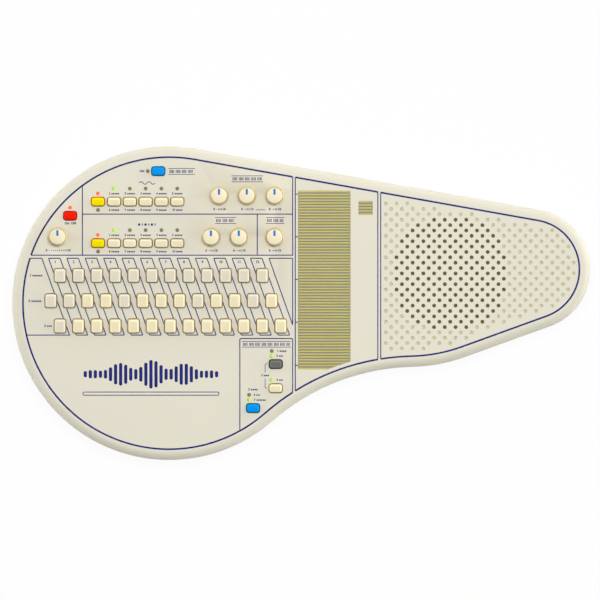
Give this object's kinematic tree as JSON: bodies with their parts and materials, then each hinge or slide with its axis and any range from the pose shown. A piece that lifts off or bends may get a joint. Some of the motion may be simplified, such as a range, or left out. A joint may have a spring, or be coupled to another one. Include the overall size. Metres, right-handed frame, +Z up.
{
  "type": "electronic autoharp",
  "caption": "Flat drop-shaped electronic autoharp with sprung chord buttons, a strum plate of metal strips, turning knobs, a speaker grille and a battery door.",
  "frame": {"origin": "middle of the instrument's footprint, on the surface it stands on", "axes": "+Z up, +X to the speaker end, +Y to the edge with the jacks"},
  "size_m": [0.5818, 0.316, 0.0605],
  "materials": {
    "case": "ivory, fine moulded texture",
    "white_cap": "warm white, satin",
    "cream_cap": "cream, satin",
    "yellow_cap": "yellow, satin",
    "red_cap": "red, satin",
    "blue_cap": "blue, satin",
    "grey_cap": "dark grey, satin",
    "knob": "cream, satin",
    "strips": "gold strips on a grey ground",
    "speaker": "black paper cone and black basket",
    "board": "green circuit board"
  },
  "bodies": {
    "case": {"top_case": "case", "bottom_case": "case", "control_board": "board", "strum_plate": "strips", "speaker": "speaker"},
    "chord_button_1_01": {"chord_button_1_01": "white_cap"},
    "chord_button_1_02": {"chord_button_1_02": "white_cap"},
    "chord_button_1_03": {"chord_button_1_03": "white_cap"},
    "chord_button_1_04": {"chord_button_1_04": "white_cap"},
    "chord_button_1_05": {"chord_button_1_05": "white_cap"},
    "chord_button_1_06": {"chord_button_1_06": "white_cap"},
    "chord_button_1_07": {"chord_button_1_07": "white_cap"},
    "chord_button_1_08": {"chord_button_1_08": "white_cap"},
    "chord_button_1_09": {"chord_button_1_09": "white_cap"},
    "chord_button_1_10": {"chord_button_1_10": "white_cap"},
    "chord_button_1_11": {"chord_button_1_11": "white_cap"},
    "chord_button_1_12": {"chord_button_1_12": "white_cap"},
    "chord_button_2_01": {"chord_button_2_01": "white_cap"},
    "chord_button_2_02": {"chord_button_2_02": "white_cap"},
    "chord_button_2_03": {"chord_button_2_03": "cream_cap"},
    "chord_button_2_04": {"chord_button_2_04": "cream_cap"},
    "chord_button_2_05": {"chord_button_2_05": "white_cap"},
    "chord_button_2_06": {"chord_button_2_06": "cream_cap"},
    "chord_button_2_07": {"chord_button_2_07": "cream_cap"},
    "chord_button_2_08": {"chord_button_2_08": "cream_cap"},
    "chord_button_2_09": {"chord_button_2_09": "white_cap"},
    "chord_button_2_10": {"chord_button_2_10": "cream_cap"},
    "chord_button_2_11": {"chord_button_2_11": "cream_cap"},
    "chord_button_2_12": {"chord_button_2_12": "white_cap"},
    "chord_button_2_13": {"chord_button_2_13": "cream_cap"},
    "chord_button_3_01": {"chord_button_3_01": "white_cap"},
    "chord_button_3_02": {"chord_button_3_02": "cream_cap"},
    "chord_button_3_03": {"chord_button_3_03": "cream_cap"},
    "chord_button_3_04": {"chord_button_3_04": "cream_cap"},
    "chord_button_3_05": {"chord_button_3_05": "cream_cap"},
    "chord_button_3_06": {"chord_button_3_06": "cream_cap"},
    "chord_button_3_07": {"chord_button_3_07": "cream_cap"},
    "chord_button_3_08": {"chord_button_3_08": "cream_cap"},
    "chord_button_3_09": {"chord_button_3_09": "cream_cap"},
    "chord_button_3_10": {"chord_button_3_10": "cream_cap"},
    "chord_button_3_11": {"chord_button_3_11": "cream_cap"},
    "chord_button_3_12": {"chord_button_3_12": "cream_cap"},
    "chord_button_3_13": {"chord_button_3_13": "cream_cap"},
    "power_button": {"power_button": "red_cap"},
    "keyboard_button": {"keyboard_button": "blue_cap"},
    "chord_auto_button": {"chord_auto_button": "grey_cap"},
    "chord_hold_button": {"chord_hold_button": "cream_cap"},
    "rhythm_start_button": {"rhythm_start_button": "blue_cap"},
    "voice_select_button": {"voice_select_button": "yellow_cap"},
    "pattern_select_button": {"pattern_select_button": "yellow_cap"},
    "voice_button_bank": {"voice_button_bank": "cream_cap"},
    "pattern_button_bank": {"pattern_button_bank": "cream_cap"},
    "master_volume_knob": {"master_volume_knob": "knob"},
    "strum_sustain_knob": {"strum_sustain_knob": "knob"},
    "strum_main_volume_knob": {"strum_main_volume_knob": "knob"},
    "strum_sub_volume_knob": {"strum_sub_volume_knob": "knob"},
    "rhythm_tempo_knob": {"rhythm_tempo_knob": "knob"},
    "rhythm_volume_knob": {"rhythm_volume_knob": "knob"},
    "chord_volume_knob": {"chord_volume_knob": "knob"},
    "battery_door": {"battery_door": "case"}
  },
  "joints": [
    {"name": "chord_press_1_01", "type": "slide", "parent": "case", "child": "chord_button_1_01", "axis": [0, 0, -1], "range_m": [0, 0.0015], "stiffness_N_per_m": 300, "springref_m": -0.001},
    {"name": "chord_press_1_02", "type": "slide", "parent": "case", "child": "chord_button_1_02", "axis": [0, 0, -1], "range_m": [0, 0.0015], "stiffness_N_per_m": 300, "springref_m": -0.001},
    {"name": "chord_press_1_03", "type": "slide", "parent": "case", "child": "chord_button_1_03", "axis": [0, 0, -1], "range_m": [0, 0.0015], "stiffness_N_per_m": 300, "springref_m": -0.001},
    {"name": "chord_press_1_04", "type": "slide", "parent": "case", "child": "chord_button_1_04", "axis": [0, 0, -1], "range_m": [0, 0.0015], "stiffness_N_per_m": 300, "springref_m": -0.001},
    {"name": "chord_press_1_05", "type": "slide", "parent": "case", "child": "chord_button_1_05", "axis": [0, 0, -1], "range_m": [0, 0.0015], "stiffness_N_per_m": 300, "springref_m": -0.001},
    {"name": "chord_press_1_06", "type": "slide", "parent": "case", "child": "chord_button_1_06", "axis": [0, 0, -1], "range_m": [0, 0.0015], "stiffness_N_per_m": 300, "springref_m": -0.001},
    {"name": "chord_press_1_07", "type": "slide", "parent": "case", "child": "chord_button_1_07", "axis": [0, 0, -1], "range_m": [0, 0.0015], "stiffness_N_per_m": 300, "springref_m": -0.001},
    {"name": "chord_press_1_08", "type": "slide", "parent": "case", "child": "chord_button_1_08", "axis": [0, 0, -1], "range_m": [0, 0.0015], "stiffness_N_per_m": 300, "springref_m": -0.001},
    {"name": "chord_press_1_09", "type": "slide", "parent": "case", "child": "chord_button_1_09", "axis": [0, 0, -1], "range_m": [0, 0.0015], "stiffness_N_per_m": 300, "springref_m": -0.001},
    {"name": "chord_press_1_10", "type": "slide", "parent": "case", "child": "chord_button_1_10", "axis": [0, 0, -1], "range_m": [0, 0.0015], "stiffness_N_per_m": 300, "springref_m": -0.001},
    {"name": "chord_press_1_11", "type": "slide", "parent": "case", "child": "chord_button_1_11", "axis": [0, 0, -1], "range_m": [0, 0.0015], "stiffness_N_per_m": 300, "springref_m": -0.001},
    {"name": "chord_press_1_12", "type": "slide", "parent": "case", "child": "chord_button_1_12", "axis": [0, 0, -1], "range_m": [0, 0.0015], "stiffness_N_per_m": 300, "springref_m": -0.001},
    {"name": "chord_press_2_01", "type": "slide", "parent": "case", "child": "chord_button_2_01", "axis": [0, 0, -1], "range_m": [0, 0.0015], "stiffness_N_per_m": 300, "springref_m": -0.001},
    {"name": "chord_press_2_02", "type": "slide", "parent": "case", "child": "chord_button_2_02", "axis": [0, 0, -1], "range_m": [0, 0.0015], "stiffness_N_per_m": 300, "springref_m": -0.001},
    {"name": "chord_press_2_03", "type": "slide", "parent": "case", "child": "chord_button_2_03", "axis": [0, 0, -1], "range_m": [0, 0.0015], "stiffness_N_per_m": 300, "springref_m": -0.001},
    {"name": "chord_press_2_04", "type": "slide", "parent": "case", "child": "chord_button_2_04", "axis": [0, 0, -1], "range_m": [0, 0.0015], "stiffness_N_per_m": 300, "springref_m": -0.001},
    {"name": "chord_press_2_05", "type": "slide", "parent": "case", "child": "chord_button_2_05", "axis": [0, 0, -1], "range_m": [0, 0.0015], "stiffness_N_per_m": 300, "springref_m": -0.001},
    {"name": "chord_press_2_06", "type": "slide", "parent": "case", "child": "chord_button_2_06", "axis": [0, 0, -1], "range_m": [0, 0.0015], "stiffness_N_per_m": 300, "springref_m": -0.001},
    {"name": "chord_press_2_07", "type": "slide", "parent": "case", "child": "chord_button_2_07", "axis": [0, 0, -1], "range_m": [0, 0.0015], "stiffness_N_per_m": 300, "springref_m": -0.001},
    {"name": "chord_press_2_08", "type": "slide", "parent": "case", "child": "chord_button_2_08", "axis": [0, 0, -1], "range_m": [0, 0.0015], "stiffness_N_per_m": 300, "springref_m": -0.001},
    {"name": "chord_press_2_09", "type": "slide", "parent": "case", "child": "chord_button_2_09", "axis": [0, 0, -1], "range_m": [0, 0.0015], "stiffness_N_per_m": 300, "springref_m": -0.001},
    {"name": "chord_press_2_10", "type": "slide", "parent": "case", "child": "chord_button_2_10", "axis": [0, 0, -1], "range_m": [0, 0.0015], "stiffness_N_per_m": 300, "springref_m": -0.001},
    {"name": "chord_press_2_11", "type": "slide", "parent": "case", "child": "chord_button_2_11", "axis": [0, 0, -1], "range_m": [0, 0.0015], "stiffness_N_per_m": 300, "springref_m": -0.001},
    {"name": "chord_press_2_12", "type": "slide", "parent": "case", "child": "chord_button_2_12", "axis": [0, 0, -1], "range_m": [0, 0.0015], "stiffness_N_per_m": 300, "springref_m": -0.001},
    {"name": "chord_press_2_13", "type": "slide", "parent": "case", "child": "chord_button_2_13", "axis": [0, 0, -1], "range_m": [0, 0.0015], "stiffness_N_per_m": 300, "springref_m": -0.001},
    {"name": "chord_press_3_01", "type": "slide", "parent": "case", "child": "chord_button_3_01", "axis": [0, 0, -1], "range_m": [0, 0.0015], "stiffness_N_per_m": 300, "springref_m": -0.001},
    {"name": "chord_press_3_02", "type": "slide", "parent": "case", "child": "chord_button_3_02", "axis": [0, 0, -1], "range_m": [0, 0.0015], "stiffness_N_per_m": 300, "springref_m": -0.001},
    {"name": "chord_press_3_03", "type": "slide", "parent": "case", "child": "chord_button_3_03", "axis": [0, 0, -1], "range_m": [0, 0.0015], "stiffness_N_per_m": 300, "springref_m": -0.001},
    {"name": "chord_press_3_04", "type": "slide", "parent": "case", "child": "chord_button_3_04", "axis": [0, 0, -1], "range_m": [0, 0.0015], "stiffness_N_per_m": 300, "springref_m": -0.001},
    {"name": "chord_press_3_05", "type": "slide", "parent": "case", "child": "chord_button_3_05", "axis": [0, 0, -1], "range_m": [0, 0.0015], "stiffness_N_per_m": 300, "springref_m": -0.001},
    {"name": "chord_press_3_06", "type": "slide", "parent": "case", "child": "chord_button_3_06", "axis": [0, 0, -1], "range_m": [0, 0.0015], "stiffness_N_per_m": 300, "springref_m": -0.001},
    {"name": "chord_press_3_07", "type": "slide", "parent": "case", "child": "chord_button_3_07", "axis": [0, 0, -1], "range_m": [0, 0.0015], "stiffness_N_per_m": 300, "springref_m": -0.001},
    {"name": "chord_press_3_08", "type": "slide", "parent": "case", "child": "chord_button_3_08", "axis": [0, 0, -1], "range_m": [0, 0.0015], "stiffness_N_per_m": 300, "springref_m": -0.001},
    {"name": "chord_press_3_09", "type": "slide", "parent": "case", "child": "chord_button_3_09", "axis": [0, 0, -1], "range_m": [0, 0.0015], "stiffness_N_per_m": 300, "springref_m": -0.001},
    {"name": "chord_press_3_10", "type": "slide", "parent": "case", "child": "chord_button_3_10", "axis": [0, 0, -1], "range_m": [0, 0.0015], "stiffness_N_per_m": 300, "springref_m": -0.001},
    {"name": "chord_press_3_11", "type": "slide", "parent": "case", "child": "chord_button_3_11", "axis": [0, 0, -1], "range_m": [0, 0.0015], "stiffness_N_per_m": 300, "springref_m": -0.001},
    {"name": "chord_press_3_12", "type": "slide", "parent": "case", "child": "chord_button_3_12", "axis": [0, 0, -1], "range_m": [0, 0.0015], "stiffness_N_per_m": 300, "springref_m": -0.001},
    {"name": "chord_press_3_13", "type": "slide", "parent": "case", "child": "chord_button_3_13", "axis": [0, 0, -1], "range_m": [0, 0.0015], "stiffness_N_per_m": 300, "springref_m": -0.001},
    {"name": "power_press", "type": "slide", "parent": "case", "child": "power_button", "axis": [0, 0, -1], "range_m": [0, 0.001], "stiffness_N_per_m": 300, "springref_m": -0.001},
    {"name": "keyboard_press", "type": "slide", "parent": "case", "child": "keyboard_button", "axis": [0, 0, -1], "range_m": [0, 0.001], "stiffness_N_per_m": 300, "springref_m": -0.001},
    {"name": "chord_auto_press", "type": "slide", "parent": "case", "child": "chord_auto_button", "axis": [0, 0, -1], "range_m": [0, 0.001], "stiffness_N_per_m": 300, "springref_m": -0.001},
    {"name": "chord_hold_press", "type": "slide", "parent": "case", "child": "chord_hold_button", "axis": [0, 0, -1], "range_m": [0, 0.001], "stiffness_N_per_m": 300, "springref_m": -0.001},
    {"name": "rhythm_start_press", "type": "slide", "parent": "case", "child": "rhythm_start_button", "axis": [0, 0, -1], "range_m": [0, 0.001], "stiffness_N_per_m": 300, "springref_m": -0.001},
    {"name": "voice_select_press", "type": "slide", "parent": "case", "child": "voice_select_button", "axis": [0, 0, -1], "range_m": [0, 0.001], "stiffness_N_per_m": 300, "springref_m": -0.001},
    {"name": "pattern_select_press", "type": "slide", "parent": "case", "child": "pattern_select_button", "axis": [0, 0, -1], "range_m": [0, 0.001], "stiffness_N_per_m": 300, "springref_m": -0.001},
    {"name": "voice_bank_press", "type": "slide", "parent": "case", "child": "voice_button_bank", "axis": [0, 0, -1], "range_m": [0, 0.001], "stiffness_N_per_m": 900, "springref_m": -0.001},
    {"name": "pattern_bank_press", "type": "slide", "parent": "case", "child": "pattern_button_bank", "axis": [0, 0, -1], "range_m": [0, 0.001], "stiffness_N_per_m": 900, "springref_m": -0.001},
    {"name": "master_volume_turn", "type": "hinge", "parent": "case", "child": "master_volume_knob", "pos_m": [-0.245, 0.0667, 0.0463], "axis": [0, 0, 1], "range_deg": [-150, 150]},
    {"name": "strum_sustain_turn", "type": "hinge", "parent": "case", "child": "strum_sustain_knob", "pos_m": [-0.0826, 0.1081, 0.0463], "axis": [0, 0, 1], "range_deg": [-150, 150]},
    {"name": "strum_main_volume_turn", "type": "hinge", "parent": "case", "child": "strum_main_volume_knob", "pos_m": [-0.0547, 0.1081, 0.0463], "axis": [0, 0, 1], "range_deg": [-150, 150]},
    {"name": "strum_sub_volume_turn", "type": "hinge", "parent": "case", "child": "strum_sub_volume_knob", "pos_m": [-0.0268, 0.1081, 0.0463], "axis": [0, 0, 1], "range_deg": [-150, 150]},
    {"name": "rhythm_tempo_turn", "type": "hinge", "parent": "case", "child": "rhythm_tempo_knob", "pos_m": [-0.0907, 0.0665, 0.0463], "axis": [0, 0, 1], "range_deg": [-150, 150]},
    {"name": "rhythm_volume_turn", "type": "hinge", "parent": "case", "child": "rhythm_volume_knob", "pos_m": [-0.0627, 0.0665, 0.0463], "axis": [0, 0, 1], "range_deg": [-150, 150]},
    {"name": "chord_volume_turn", "type": "hinge", "parent": "case", "child": "chord_volume_knob", "pos_m": [-0.0268, 0.0665, 0.0463], "axis": [0, 0, 1], "range_deg": [-150, 150]},
    {"name": "battery_door_hinge", "type": "hinge", "parent": "case", "child": "battery_door", "pos_m": [-0.133, 0.031, 0.0025], "axis": [1, 0, 0], "range_deg": [0, 95]}
  ]
}
